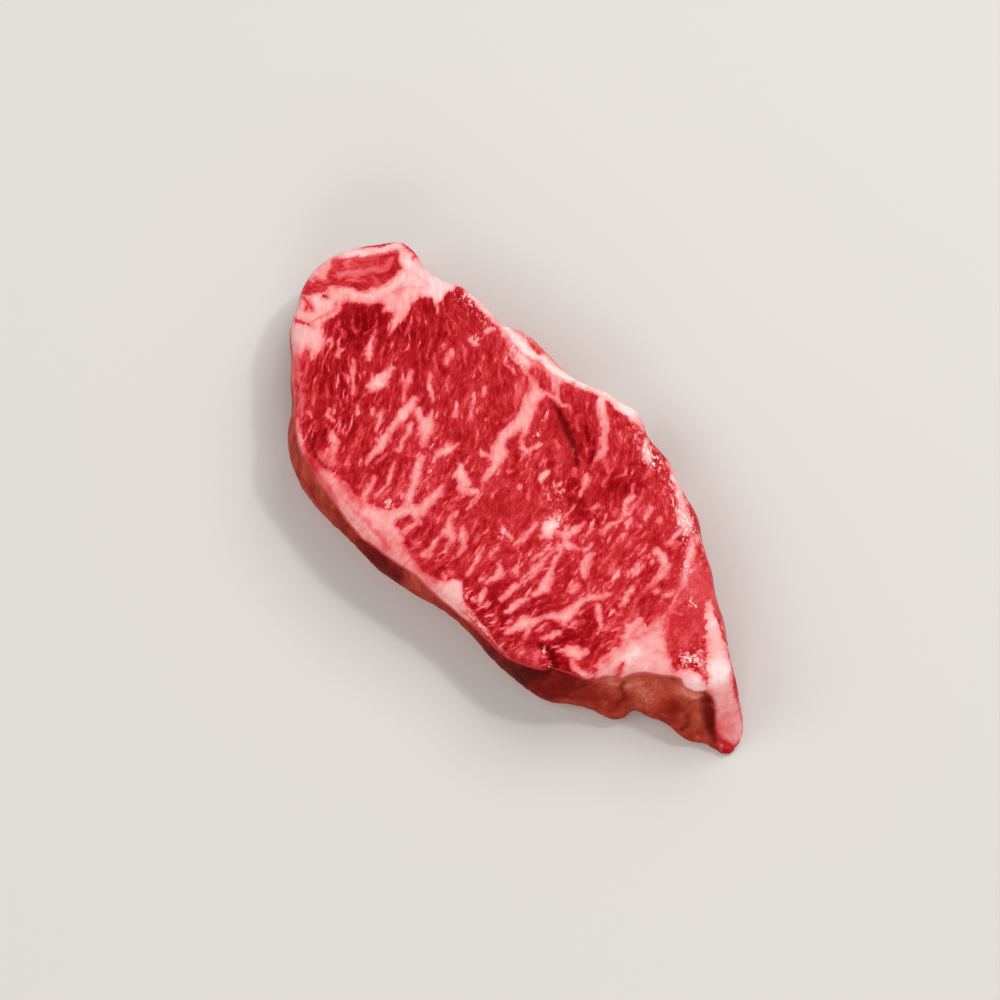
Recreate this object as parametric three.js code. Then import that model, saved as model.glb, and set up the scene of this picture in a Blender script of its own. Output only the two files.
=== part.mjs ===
// A raw sirloin steak, cut across the striploin: one slab of marbled lean with a fat cap along one
// long side, a small muscle behind a collar of fat at the blunt end, and a tapering tail of fat.
//
// Millimetres, +Z up. The slab rests on its lower cut face at z = 0 and the origin is under the
// middle of it. +X runs along the slab to the tip of the tail, and the fat cap is on the -Y side.

import * as THREE from "three";

const thickness = 26; // the slab, cut face to cut face

// The edge of the upper cut face seen square-on, in four sides that run on from one another
// anticlockwise. Each side begins at a corner of the grid that fills the face.
const fatCapSide = [
  [-109.4, -7.6], [-104.2, -14.8], [-99.2, -21.3], [-91.8, -26.2], [-84.3, -32.4], [-75, -38],
  [-70, -43], [-64, -47.3], [-56, -49.5], [-42, -50.4], [-28, -51], [-15, -49.6], [0, -46],
  [14.5, -42.6], [25, -40.6], [42, -38.6], [51, -35.6], [58, -30.8], [65, -24.8], [68.4, -18.8],
  [72.6, -12.4], [79, -5.8], [85, -0.6], [90.8, 1.8], [94.6, 5.6], [97.6, 6.6], [101.6, 5],
  [106, 2.9],
];
const tailTipSide = [[109.2, 1.4], [110.9, 2.8], [110.6, 6]];
const chineSide = [
  [109, 9.4], [106, 12], [99, 15.2], [90.7, 18.6], [83, 23], [75, 26.8], [67.6, 30.8],
  [62.4, 34.4], [51.4, 39.3], [44.3, 43.7], [31.4, 46.2], [22.4, 49], [12, 49], [6.6, 50.9],
  [1.5, 52], [-3.4, 49.7], [-9.5, 48.5], [-15, 45.6], [-21.5, 42.3], [-29, 41], [-42.5, 41.1],
  [-48.6, 39], [-51.6, 36.4], [-60.8, 36], [-73, 34.3], [-78.8, 30.2], [-86, 28.4], [-93.5, 29.7],
];
const bluntEndSide = [[-99.6, 28.9], [-105.2, 21.6], [-110.2, 12], [-112, 3.2]];
const sides = [fatCapSide, tailTipSide, chineSide, bluntEndSide];

// Smooth swellings. Each is centred over x, y, fades over its reach, and adds its amount there.
const faceSwells = [
  { x: -70, y: -8, reach: 26, amount: 0.7 },
  { x: -28, y: 30, reach: 16, amount: 0.6 },
  { x: -4, y: 26, reach: 13, amount: -1.2 }, // the hollow round the crease
  { x: 17, y: 18, reach: 12, amount: -1.3 },
  { x: -5, y: -20, reach: 26, amount: 0.6 },
  { x: 38, y: -2, reach: 22, amount: 0.8 },
  { x: 52, y: -31, reach: 7, amount: 0.9 }, // a lump of lean at the rim
  { x: 24, y: -42, reach: 22, amount: -2.2 }, // the fat cap dips where it is thinnest
  { x: -104, y: 4, reach: 16, amount: -1.6 }, // the small muscle sits lower
  { x: -84, y: 24, reach: 12, amount: 0.8 }, // the collar of fat stands proud of it
  { x: 86, y: 12, reach: 10, amount: 0.9 },
];
const wallSwells = [
  { x: -45, y: -52, reach: 26, amount: 1.2 }, // the cap's belly
  { x: -28, y: 41, reach: 14, amount: 1.6 },
  { x: 73, y: -12, reach: 5, amount: 1.2 },
  { x: 77, y: -7, reach: 3, amount: -1 }, // a fold in the end wall
  { x: 87, y: 0, reach: 6, amount: 1.4 },
  { x: 95, y: 5.6, reach: 3.6, amount: -3 }, // the groove between end wall and tail
];

// How far the foot of the wall stands from the edge above it.
const footShifts = [
  { x: -72, y: -43, reach: 8, shift: [-1.8, -1.2] },
  { x: -50, y: -51, reach: 14, shift: [0, -1.6] },
  { x: -28, y: -51, reach: 10, shift: [0, 1.4] }, // the cap tucks under
  { x: 15, y: -42, reach: 13, shift: [0, 2.6] },
  { x: 58, y: -31, reach: 10, shift: [2.5, -2.6] },
  { x: 71, y: -16, reach: 8, shift: [9, -4.6] }, // the end wall slopes out
  { x: 82, y: -4, reach: 8, shift: [3, -7.4] },
  { x: 95.5, y: 4, reach: 9.5, shift: [8.8, -10.4] },
  { x: 75, y: 27, reach: 9, shift: [1, 2.6] },
  { x: -28, y: 42, reach: 14, shift: [0, 2.1] },
];

const tailTaper = { from: 92, to: 113, drop: 21.5 }; // along X, the upper face slopes to the tip
const crease = {
  points: [{ x: -14, y: 30.6 }, { x: -8, y: 30.2 }, { x: -2, y: 27.4 }, { x: 4, y: 22.8 }],
  width: 3.6,
  depth: 1.3,
};
const topRound = { width: 4, drop: 3 }; // the edge of the upper face
const topRoundShare = 0.4; // of the wall, where the wall is low
const chineRoll = { x: 42, y: 44, reach: 24, width: 6, drop: 1.4 }; // extra rounding on that side
const footRound = 3.2;
const footRoundShare = 0.25; // of the wall, where the wall is low
const wallBulge = 1.3; // half way down the wall
const wallRows = [0, 0.22, 0.45, 0.68, 0.86, 0.965, 1]; // shares of the way down

const lengthCells = 100; // squares along and across the upper face
const widthCells = 30;
const fineStep = 0.05; // of a span between two control points, for measuring lengths
const tiny = 1e-9;
const bendFading = 10; // how soon the rungs become straight away from the ends
const edgeCrowding = 0.5; // 0 spaces the squares across evenly, 1 crowds them to the edges most

const fade = (distance, reach) => Math.exp(-((distance / reach) ** 2));
const smoothStep = (t) => {
  const c = THREE.MathUtils.clamp(t, 0, 1);
  return c * c * (3 - 2 * c);
};

function swell(list, x, y) {
  return list.reduce((sum, s) => sum + s.amount * fade(Math.hypot(x - s.x, y - s.y), s.reach), 0);
}

function distanceToSegment(x, y, a, b) {
  const dx = b.x - a.x;
  const dy = b.y - a.y;
  const t = ((x - a.x) * dx + (y - a.y) * dy) / (dx * dx + dy * dy);
  const c = THREE.MathUtils.clamp(t, 0, 1);
  return Math.hypot(x - a.x - c * dx, y - a.y - c * dy);
}

// The distance to a line of points, closed or open.
function distanceToLine(x, y, points, closed) {
  let least = Infinity;
  for (let k = closed ? 0 : 1; k < points.length; k++) {
    const before = points[(k + points.length - 1) % points.length];
    least = Math.min(least, distanceToSegment(x, y, before, points[k]));
  }
  return least;
}

// Shares from 0 to 1 that cut a side into cells, crowded to both of its ends.
function cellShares(cells, crowding) {
  return Array.from({ length: cells + 1 }, (_, k) => {
    const even = k / cells;
    return THREE.MathUtils.lerp(even, 0.5 - 0.5 * Math.cos(Math.PI * even), crowding);
  });
}

const alongShares = cellShares(lengthCells, 0);
const acrossShares = cellShares(widthCells, edgeCrowding);

// Points on a closed curve from one control point to another, at shares of the length between
// them, each with its outward normal.
function sampleSide(curve, from, to, shares) {
  const at = (steps) => ((from + steps * fineStep) / curve.points.length) % 1;
  const lengths = [0];
  for (let k = 1; from + k * fineStep < to + fineStep / 2; k++) {
    lengths.push(lengths[k - 1] + curve.getPoint(at(k)).distanceTo(curve.getPoint(at(k - 1))));
  }
  return shares.map((share) => {
    const wanted = share * lengths[lengths.length - 1];
    const k = Math.max(1, lengths.findIndex((length) => length > wanted - tiny));
    const place = at(k - 1 + (wanted - lengths[k - 1]) / (lengths[k] - lengths[k - 1]));
    const point = curve.getPoint(place);
    const along = curve.getTangent(place);
    return { x: point.x, y: point.y, normal: [along.y, -along.x] };
  });
}

// The ring of points round the face, side after side.
function sampleEdge() {
  const corners = sides.flat().map(([x, y]) => new THREE.Vector3(x, y, 0));
  const curve = new THREE.CatmullRomCurve3(corners, true, "centripetal");
  let from = 0;
  return sides.flatMap((side, k) => {
    const to = from + side.length;
    const points = sampleSide(curve, from, to, k % 2 ? acrossShares : alongShares);
    from = to;
    return points.slice(0, -1);
  });
}

// Rows of points that fill the face. Straight rungs cross from the cap side to the chine side, and
// near the ends they bend to the shape of the blunt end and of the tail's tip.
function fillFace(edge) {
  const cap = (i) => edge[i];
  const tail = (j) => edge[lengthCells + j];
  const chine = (i) => edge[2 * lengthCells + widthCells - i];
  const blunt = (j) => edge[(edge.length - j) % edge.length];
  return acrossShares.map((v, j) =>
    alongShares.map((u, i) =>
      ["x", "y"].map((c) => {
        const rung = (k) => (1 - v) * cap(k)[c] + v * chine(k)[c];
        const bluntBend = (1 - u) ** bendFading * (blunt(j)[c] - rung(0));
        const tailBend = u ** bendFading * (tail(j)[c] - rung(lengthCells));
        return rung(i) + bluntBend + tailBend;
      }),
    ),
  );
}

// The height of the upper face at a distance in from its edge.
function faceHeight(x, y, inward) {
  const tail = (x - tailTaper.from) / (tailTaper.to - tailTaper.from);
  const height = thickness - tailTaper.drop * smoothStep(tail) + swell(faceSwells, x, y);
  const roll = fade(Math.hypot(x - chineRoll.x, y - chineRoll.y), chineRoll.reach);
  const width = topRound.width + chineRoll.width * roll;
  const drop = Math.min(topRound.drop + chineRoll.drop * roll, topRoundShare * height);
  const outward = 1 - Math.min(inward / width, 1);
  const trench = crease.depth * fade(distanceToLine(x, y, crease.points, false), crease.width);
  return height - drop * (1 - Math.sqrt(1 - outward * outward)) - trench;
}

// Rings of points down the wall, from the edge of the upper face to the flat of the lower one.
function wallRings(edge) {
  return wallRows.map((share) =>
    edge.map(({ x, y, normal }) => {
      const rim = faceHeight(x, y, 0);
      const z = rim * (1 - share);
      const round = Math.min(footRound, footRoundShare * rim);
      const low = Math.max(0, 1 - z / round);
      const belly = Math.sin(Math.PI * share) * (wallBulge + swell(wallSwells, x, y));
      const out = belly - round * (1 - Math.sqrt(1 - low * low));
      const point = [x + normal[0] * out, y + normal[1] * out, z];
      for (const s of footShifts) {
        const near = smoothStep(share) * fade(Math.hypot(x - s.x, y - s.y), s.reach);
        point[0] += near * s.shift[0];
        point[1] += near * s.shift[1];
      }
      return point;
    }),
  );
}

// One closed skin of vertices and triangles.
class Skin {
  constructor() {
    this.points = [];
    this.triangles = [];
  }

  add(x, y, z) {
    this.points.push(x, y, z);
    return this.points.length / 3 - 1;
  }

  square(a, b, c, d) {
    this.triangles.push(a, b, c, a, c, d);
  }

  geometry() {
    const made = new THREE.BufferGeometry();
    made.setAttribute("position", new THREE.Float32BufferAttribute(this.points, 3));
    made.setIndex(this.triangles);
    made.computeVertexNormals();
    return made;
  }
}

// The outer vertices of the face's rows, in the order of its edge.
function ringOf(rows) {
  const ring = rows[0].slice(0, lengthCells);
  for (let j = 0; j < widthCells; j++) {
    ring.push(rows[j][lengthCells]);
  }
  for (let i = lengthCells; i > 0; i--) {
    ring.push(rows[widthCells][i]);
  }
  for (let j = widthCells; j > 0; j--) {
    ring.push(rows[j][0]);
  }
  return ring;
}

function buildSteak() {
  const skin = new Skin();
  const edge = sampleEdge();

  const face = fillFace(edge).map((row) =>
    row.map(([x, y]) => skin.add(x, y, faceHeight(x, y, distanceToLine(x, y, edge, true)))),
  );
  for (let j = 0; j < widthCells; j++) {
    for (let i = 0; i < lengthCells; i++) {
      skin.square(face[j][i], face[j][i + 1], face[j + 1][i + 1], face[j + 1][i]);
    }
  }

  const rings = wallRings(edge);
  let above = ringOf(face);
  for (const ring of rings.slice(1)) {
    const below = ring.map((point) => skin.add(...point));
    below.forEach((_, k) => {
      const next = (k + 1) % below.length;
      skin.square(above[k], below[k], below[next], above[next]);
    });
    above = below;
  }

  // The lower face is flat, so triangles from foot to foot are enough.
  const foot = rings[rings.length - 1].map(([x, y]) => new THREE.Vector2(x, y));
  for (const [a, b, c] of THREE.ShapeUtils.triangulateShape(foot, [])) {
    skin.triangles.push(above[a], above[c], above[b]);
  }
  return skin.geometry();
}

const meat = new THREE.MeshStandardMaterial({ color: 0xb3242e, roughness: 0.4, metalness: 0 });
const steak = new THREE.Mesh(buildSteak(), meat);
steak.name = "steak";

const part = new THREE.Group();
part.add(steak);

export default part;
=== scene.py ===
import bmesh
import bpy
import numpy as np
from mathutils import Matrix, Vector, noise


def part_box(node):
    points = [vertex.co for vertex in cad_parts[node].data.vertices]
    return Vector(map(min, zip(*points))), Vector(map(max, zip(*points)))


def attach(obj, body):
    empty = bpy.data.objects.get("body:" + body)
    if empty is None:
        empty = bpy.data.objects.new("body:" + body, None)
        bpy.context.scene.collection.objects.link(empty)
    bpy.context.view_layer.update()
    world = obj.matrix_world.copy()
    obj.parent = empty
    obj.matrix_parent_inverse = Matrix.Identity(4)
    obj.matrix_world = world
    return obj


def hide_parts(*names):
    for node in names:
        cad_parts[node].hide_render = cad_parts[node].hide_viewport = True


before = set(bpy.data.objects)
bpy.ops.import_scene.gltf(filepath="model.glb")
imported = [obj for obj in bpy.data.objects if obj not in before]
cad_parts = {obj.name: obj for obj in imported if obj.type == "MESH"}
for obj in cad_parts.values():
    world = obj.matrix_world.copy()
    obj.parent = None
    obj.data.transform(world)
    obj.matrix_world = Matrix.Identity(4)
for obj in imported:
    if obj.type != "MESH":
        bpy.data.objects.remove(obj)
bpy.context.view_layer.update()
mm = 0.001


def hexToLinear(hexColour):
    channels = [int(hexColour[k:k + 2], 16) / 255 for k in (0, 2, 4)]
    linear = [c / 12.92 if c <= 0.04045 else ((c + 0.055) / 1.055) ** 2.4 for c in channels]
    return (*linear, 1)


def addNode(tree, kind, inputs=(), output=0, **settings):
    # adds one node with its settings, fills its inputs by place or by name with values or with
    # other nodes' outputs, and gives back one of its own outputs
    node = tree.nodes.new(kind)
    for name, value in settings.items():
        if name == "stops":  # a colour ramp's places and colours
            ramp = node.color_ramp
            while len(ramp.elements) < len(value):
                ramp.elements.new(1)
            for element, (place, colour) in zip(ramp.elements, value):
                element.position = place
                element.color = hexToLinear(colour)
        else:
            setattr(node, name, value)
    free = [socket for socket in node.inputs if socket.enabled]
    for name, value in inputs.items() if isinstance(inputs, dict) else enumerate(inputs):
        socket = free[name] if isinstance(name, int) else next(s for s in free if s.name == name)
        if isinstance(value, bpy.types.NodeSocket):
            tree.links.new(value, socket)
        else:
            socket.default_value = value
    made = [socket for socket in node.outputs if socket.enabled]
    return next((s for place, s in enumerate(made) if output in (place, s.name)), None)


def weigh(tree, start, *terms):
    # start + the sum of each value times its share
    for value, share in terms:
        start = addNode(tree, "ShaderNodeMath", [value, share, start], operation="MULTIPLY_ADD")
    return start


def lineField(points, lines):
    # a sum of soft lines, each an amount and a stroke
    return sum(amount * smoothStep(strokeField(points, [stroke]), -0.9, 0.5) for amount, stroke in lines)


def smoothStep(value, low, high):
    t = np.clip((value - low) / (high - low), 0, 1)
    return t * t * (3 - 2 * t)


def noiseAt(points, size):
    # smooth noise vectors from -1 to 1, for points in millimetres
    return np.array([noise.noise_vector(Vector(p) / size) for p in points])


def strokeField(points, strokes):
    # millimetres inside the nearest stroke; each stroke is a line of (x, y, width)
    field = np.full(len(points), -99.0)
    for stroke in strokes:
        for (ax, ay, aw), (bx, by, bw) in zip(stroke, stroke[1:]):
            step = np.array([bx - ax, by - ay])
            t = np.clip((points - (ax, ay)) @ step / (step @ step), 0, 1)
            gap = np.hypot(points[:, 0] - ax - t * step[0], points[:, 1] - ay - t * step[1])
            field = np.maximum(field, (aw + t * (bw - aw)) / 2 - gap)
    return field


def patchField(points, outline):
    # millimetres inside a closed outline, negative outside it
    gap = np.full(len(points), 99.0)
    inside = np.zeros(len(points), bool)
    for (ax, ay), (bx, by) in zip(outline, outline[1:] + outline[:1]):
        step = np.array([bx - ax, by - ay])
        t = np.clip((points - (ax, ay)) @ step / (step @ step), 0, 1)
        gap = np.minimum(gap, np.hypot(points[:, 0] - ax - t * step[0], points[:, 1] - ay - t * step[1]))
        if ay != by:
            crossing = ax + (points[:, 1] - ay) * (bx - ax) / (by - ay)
            inside ^= ((ay > points[:, 1]) != (by > points[:, 1])) & (points[:, 0] < crossing)
    return np.where(inside, gap, -gap)


def spotField(points, spots):
    # a sum of soft spots (x, y, reach, amount)
    field = np.zeros(len(points))
    for x, y, reach, amount in spots:
        field += amount * np.exp(-((points[:, 0] - x) ** 2 + (points[:, 1] - y) ** 2) / reach**2)
    return field


# Places on the cut face are x, y in millimetres in the part's frame; widths follow them.
steak = {
    "seed": 3,  # of every wander below
    "voxel": 1.08,  # mm, of the remeshed skin
    "smoothing": 8,  # rounds
    "finerSlope": 0.3,  # the skin is made finer where it faces up more than this
    "finerAbove": 4,  # mm, and lies higher than this
    "finerSmoothing": 2,  # rounds, after that
    "thickness": 26,  # mm, cut face to cut face
    "slant": (0.2827, -0.2288),  # mm that the muscles shift sideways for each mm of depth
    "drift": (11, 0.7),  # size and amount, in mm, of the slow wander of everything
    "underDrift": (12, 4),  # and of one more on the way down to the lower face
    "fatWarp": [(3.6, 0.7), (1.5, 0.5)],  # and of the quick wander of the fat's edges
    "grain": (-0.42, 0.006, -0.005),  # how the fibres lean: at the middle, per mm of x, per mm of y
    "smallMuscleLean": 0.55,  # and in the small muscle at the blunt end
    "grainWarp": [(13, 2.2), (4.2, 0.6)],  # how the fibres wander, as size and amount
    "fleckGain": 0.15,  # mm that the flecks spread past their strokes
    "sideSlope": (0.12, 0.4),  # how far up a surface faces, from all side to all cut face
    "sideHeight": (18, 23),  # mm, and above which it counts as cut face
    "underSlope": (0.5, 0.85),  # how far down it faces, from all side to all lower face
    "farSide": (-0.45, 0.89, 0),  # the way the sides face where the muscles show through
    "farEdge": (-0.1, 0.7),  # how softly that begins
    "blotchSize": 13,  # mm, of the uneven patches there
    "fatPatches": [
        [  # collar round the small muscle, down to the corner of the cap
            (-99, 31), (-91, 29), (-86, 29), (-76, 33), (-73.6, 36), (-73.7, 29.9), (-73.7, 26),
            (-72.6, 22.7), (-69.2, 20.2), (-73.6, 21.9), (-76.6, 21.6), (-78.2, 19.6), (-78.2, 17.2),
            (-76.6, 14), (-75.6, 11), (-74.6, 7), (-73, 1.8), (-76.4, 4.6), (-78.2, 7.4), (-80, 8.4),
            (-81.4, 6.2), (-82.4, 4.8), (-83.4, 7.2), (-84.8, 7.9), (-86.2, 6.2), (-88, 3.4), (-89.4, 1.6),
            (-91.6, -0.4), (-92.6, -2.2), (-91.8, -5.1), (-91.3, -8.4), (-91.6, -11.8), (-90.7, -14),
            (-88.2, -15.1), (-84.9, -15.7), (-84.6, -17.9), (-83.2, -20), (-82.7, -25), (-80.4, -28.3),
            (-79.6, -32.2), (-76.5, -33), (-74, -34.8), (-71, -38), (-69, -41), (-76, -46), (-90, -36),
            (-106, -22), (-116, -6), (-116, 8), (-108, 24), (-103, 31),
        ],
        [  # the thick fat by the chine
            (-52, 33.6), (-47.2, 32.4), (-43.9, 31.3), (-42.2, 30.2), (-40.6, 31.3), (-35, 31.3),
            (-30, 30.2), (-24.4, 30.2), (-22, 31.3), (-20.5, 34), (-21, 38), (-18, 44), (-30, 46),
            (-46, 44), (-54, 38),
        ],
        [  # the main seam, with its branch and its spur
            (-32, 30.6), (-29, 28.6), (-27, 26.4), (-26, 24), (-24.4, 21.6), (-23, 19.6), (-22, 17),
            (-21.2, 14), (-20.8, 11), (-20.6, 8.8), (-19.8, 7.4), (-19.2, 5), (-17.8, 3.2), (-16.8, 2.2),
            (-18.4, 1.2), (-20.2, 0.5), (-19.8, -1.2), (-17.4, -1.4), (-15.6, 0.6), (-14.2, 0.2),
            (-13.5, -2), (-12.7, -4.6), (-11.2, -7), (-10.4, -6), (-10.1, -3), (-10.4, 0), (-10.8, 2),
            (-11.5, 4), (-12.1, 6), (-13.4, 8), (-15.4, 8.6), (-17.1, 10), (-17.3, 12.6), (-16.4, 15.4),
            (-15.8, 14), (-14.4, 12.2), (-12, 11), (-9, 10.8), (-7.6, 11.8), (-8, 16), (-8.4, 18.6),
            (-10, 17.8), (-9.8, 14.6), (-10.2, 12.9), (-12, 12.9), (-14, 14.2), (-15, 16.6), (-16.5, 19.2),
            (-18, 22.2), (-20, 25.2), (-21.4, 27.6), (-22.2, 30.6), (-26, 31.2),
        ],
        [  # the fat cap with its two wedges
            (-69, -41), (-66, -43.6), (-62, -44.9), (-57, -46.6), (-53.3, -46.3), (-48.9, -45.4),
            (-44.4, -44.3), (-40, -43.2), (-35.6, -43.8), (-30, -43.2), (-26.7, -42), (-24.5, -39.5),
            (-23.3, -38.8), (-21.1, -34.3), (-19.4, -29.9), (-17.5, -29.5), (-15.6, -29.3),
            (-12.8, -32.1), (-12.3, -36), (-12.5, -39.9), (-9.7, -41), (-6, -42.4), (-4, -43.1),
            (1.6, -42.8), (7.1, -40.9), (9.3, -39.2), (11.5, -36.6), (13.8, -34.8), (15.8, -36.6),
            (18.2, -38.7), (22, -39.6), (26, -41), (24, -50), (0, -56), (-30, -60), (-60, -58),
            (-76, -46),
        ],
        [  # the tail's fat, up to the end wall
            (65.2, 12.1), (66.6, 10), (69.9, 7.1), (74.9, 4.3), (77.1, 3.2), (82.1, 0.6), (84.3, 3.6),
            (86, 5.5), (88.2, 6.6), (92, 6.5), (97, 5.5), (96, 0), (88, -5), (80, -9), (78, -15),
            (72, -20), (69, -22.8), (66.6, -20.7), (64.9, -18.4), (63.2, -14), (62.1, -10.1),
            (63.8, -8.4), (62.1, -5.7), (60.4, -2.9), (60.4, 1.6), (59.3, 3.2), (61.6, 4.9),
            (64.3, 4.3), (64.9, 8.2),
        ],
    ],
    "leanPatches": [
        [  # the small muscle and the lean that curls away from it
            (-97.8, 24.4), (-95.5, 24), (-93.5, 22.6), (-91.2, 22), (-90.5, 19), (-89.9, 14),
            (-91.2, 11.2), (-92.2, 9), (-92.6, 6.7), (-93.3, 4.5), (-96, 3.1), (-98.7, 1.3),
            (-100.5, -1), (-101, -2.6), (-100.3, -4.6), (-98.3, -6), (-98.5, -6.6), (-101, -6.9),
            (-102.4, -8.3), (-103.3, -9.6), (-105.6, -11.4), (-108.6, -8.2), (-106.9, -6.5),
            (-106.5, -4.6), (-104.6, -4.2), (-103.4, -1.9), (-104.8, -0.6), (-106.5, 0.6),
            (-107.4, 2.2), (-109.2, 4), (-109.6, 5.4), (-108.7, 6.7), (-106.9, 9), (-104.6, 11.7),
            (-102.4, 14.5), (-100.5, 16.6), (-99.2, 20.4), (-98.7, 23.1),
        ],
        [  # an islet in the fat by the chine
            (-33.5, 32), (-31, 34.3), (-28.3, 35.5), (-24.4, 34.9), (-21.9, 33.1), (-22.4, 31.5),
            (-24.6, 31), (-30, 31.5),
        ],
    ],
    "leanStrokes": [  # lean showing through the fat
        [(-103.7, -11.9, 0.8), (-100.5, -12.2, 1), (-97.6, -12.1, 0.4)],
        [(-101.6, -13.6, 0.6), (-100.2, -13.8, 1)],
        [(-98.4, -19.4, 1), (-96.4, -18.4, 1.5), (-93.8, -16.6, 0.8)],
        [(-97.6, 28.2, 1.4), (-95, 28.8, 2), (-91.5, 28, 1)],
        [(-86.4, -23.6, 0.5), (-84, -27, 0.9), (-82.6, -29.4, 0.5)],
        [(-80.4, -31.4, 0.8), (-78, -34, 1.2), (-76.4, -35.4, 0.7)],
        [(-75, -37.2, 0.8), (-72.4, -39.6, 1.3), (-70.6, -41.4, 0.7)],
        [(-101.6, 24, 1.6), (-104, 20.4, 2.4), (-106.6, 16.4, 1.4)],
        [(-15.4, -35.6, 3.8), (-15.2, -37.6, 4)], [(71, 28.8, 2), (76, 27.6, 3), (79.5, 25.8, 1.6)],
        [(-62, -42.6, 0.8), (-59, -44, 1.5), (-55, -45.4, 1), (-50, -45.6, 0.6)],
        [(-41, 41, 1), (-32, 42.6, 1.6), (-22, 42.6, 1)], [(-39.5, 39, 1), (-35, 39.4, 1)],
        [(41, 43.4, 2), (45, 42.4, 2.4), (48.5, 40.6, 2)],
        [(69.6, -11.4, 0.4), (70.6, -13, 0.9), (71.7, -14.6, 0.5)],
    ],
    "seams": [
        [(-42.2, 30.4, 1), (-35, 31, 1.6), (-30, 30.9, 2), (-24.4, 29.9, 2.4)],
        [(-24.4, 37.4, 2.4), (-21.1, 34.7, 2), (-18.9, 32.4, 2), (-15.6, 31.9, 2), (-13.9, 34.1, 1.4)],
        [(-24.4, 30, 2), (-21.1, 31.3, 1.6), (-18.9, 31.9, 1.6)],
        [
            (-8.6, 46, 3), (-7.4, 44, 3.4), (-5.2, 41.9, 3.6), (-0.1, 39, 3.3), (3.2, 36.2, 3),
            (6.6, 34, 3), (7.9, 31.2, 2.8), (7.6, 28.6, 1),
        ],
        [
            (51, 37, 3), (53.2, 33.5, 4), (56, 29.9, 3.2), (59.3, 26, 2.6), (61.6, 22.1, 1.5),
            (63.2, 17.7, 1.3), (64.9, 13.8, 1.1), (66.4, 10.4, 1),
        ],
        [(-72, 33.6, 2.4), (-64, 34.4, 2.6), (-56, 34.8, 2.4), (-50, 34.6, 2.4)],
        [
            (-21, 40.8, 2.8), (-15.5, 43.3, 3), (-10, 45.8, 3.4), (-5, 47.4, 3.8), (0, 48.8, 5.2),
            (3.5, 49.4, 5), (7, 49, 3.2), (9.4, 48, 1.4),
        ],
        [(24, 47.4, 1.6), (28.5, 46, 2.8), (33, 44.4, 3.2), (36, 43, 3.8), (40, 41, 4)],
        [(38, 41.4, 3), (41.5, 39.6, 4.6), (44.9, 37.8, 6), (47, 36.6, 4)],
        [(13, 46.4, 1.4), (15, 44.8, 2.8), (18, 43, 3.6), (20, 42, 1.6)],
        [(45.3, 36.5, 2.4), (45.6, 33, 2), (46.2, 30.5, 1.6), (46.4, 28, 0.8)],
        [
            (71.6, 25.8, 1.6), (76, 22.1, 3.4), (80.4, 19.9, 5), (84.9, 17.1, 7), (90.4, 13.8, 8),
            (95.4, 9.9, 8), (98.2, 8.5, 8), (103, 6.5, 9), (108, 5, 10), (113, 3, 10),
        ],
        [(20, -39.9, 1.6), (25, -39.9, 1.2), (29.3, -39.7, 1.2), (33.8, -39.3, 1), (44.3, -39.8, 0.8)],
    ],
    "flecks": [
        # blunt end
        [(-62.4, -4.8, 1.4), (-62.2, -8, 3.6), (-61.8, -11, 5), (-62.2, -14, 4.4), (-63.5, -15.7, 1.4)],
        [(-77.7, -0.7, 0.9), (-74.9, -4.6, 1.6), (-72.4, -7.5, 3), (-71.4, -8.6, 1.8)],
        [(-79.3, -13.9, 1.4), (-78.7, -16.8, 2)],
        [(-84.3, -11.2, 0.8), (-83.2, -13.4, 0.9), (-79.9, -14.4, 0.9)],
        [(-74, -13, 1.6), (-72.2, -14.8, 2.6), (-69.9, -17, 1.4), (-66, -20, 1.3), (-63.8, -21.1, 0.9)],
        [(-59.8, -23.2, 1), (-57.8, -24.4, 1.6)], [(-77.6, -32, 1.6), (-76.6, -33.6, 2)],
        [(-64.9, -31.1, 1.2), (-63.2, -33.3, 1.6), (-60.4, -32.8, 1)],
        [(-69.3, -38.9, 0.7), (-67.7, -37.8, 0.8), (-66, -38, 0.6)],
        # left of the middle
        [(-57.8, -0.4, 1.6), (-55.6, -3.8, 2.2), (-53.9, -6.6, 1.4), (-51.1, -9.9, 0.8)],
        [(-53.3, 3.6, 0.9), (-49.4, 0.8, 1.7), (-45, -1.6, 1.2)],
        [
            (-49.6, -6, 2), (-48, -9.2, 5), (-47, -12.4, 4.8), (-46.1, -15.4, 3.4),
            (-44.6, -20.4, 2.2), (-43.7, -24.4, 3.8), (-42.4, -27.6, 3.4), (-41.7, -30, 2.4),
            (-40.8, -33.8, 1.2),
        ],
        [(-46, -25, 1.4), (-44.4, -25.4, 2.6)],
        [
            (-45.6, -7.1, 1.6), (-42.8, -8.4, 3), (-38.9, -9.8, 4.6), (-36.1, -12, 3.4),
            (-33.9, -14.3, 1.2),
        ],
        [(-41, -5.4, 1.6), (-39.4, -8, 4.4), (-37.4, -10, 4.4)],
        [(-41.7, -4.3, 0.9), (-39.6, -6.6, 1.6), (-38.4, -9.3, 2.8)],
        [(-42.2, -12.1, 1.2), (-40, -17.1, 1.8), (-37.8, -22.1, 1.2)],
        [(-26.8, -4.8, 1.4), (-27.2, -8.8, 3.2), (-27.6, -12.4, 3.2), (-26.6, -15, 1.4)],
        [(-28.6, -7, 1), (-28.6, -11, 1.4)],
        [
            (-30.2, -17.8, 2.6), (-28.6, -20, 3.4), (-27.2, -22.1, 3.6), (-24.8, -26, 3.2),
            (-22.2, -29.9, 2.8), (-20, -32.7, 2.4),
        ],
        [(-17.6, -18.8, 1.8), (-16.8, -21.5, 3.4), (-15.8, -25.5, 3.8), (-15.2, -29.5, 4.4)],
        [(-24.9, -35.2, 1.3), (-24.2, -37.2, 1.6)],
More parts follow.
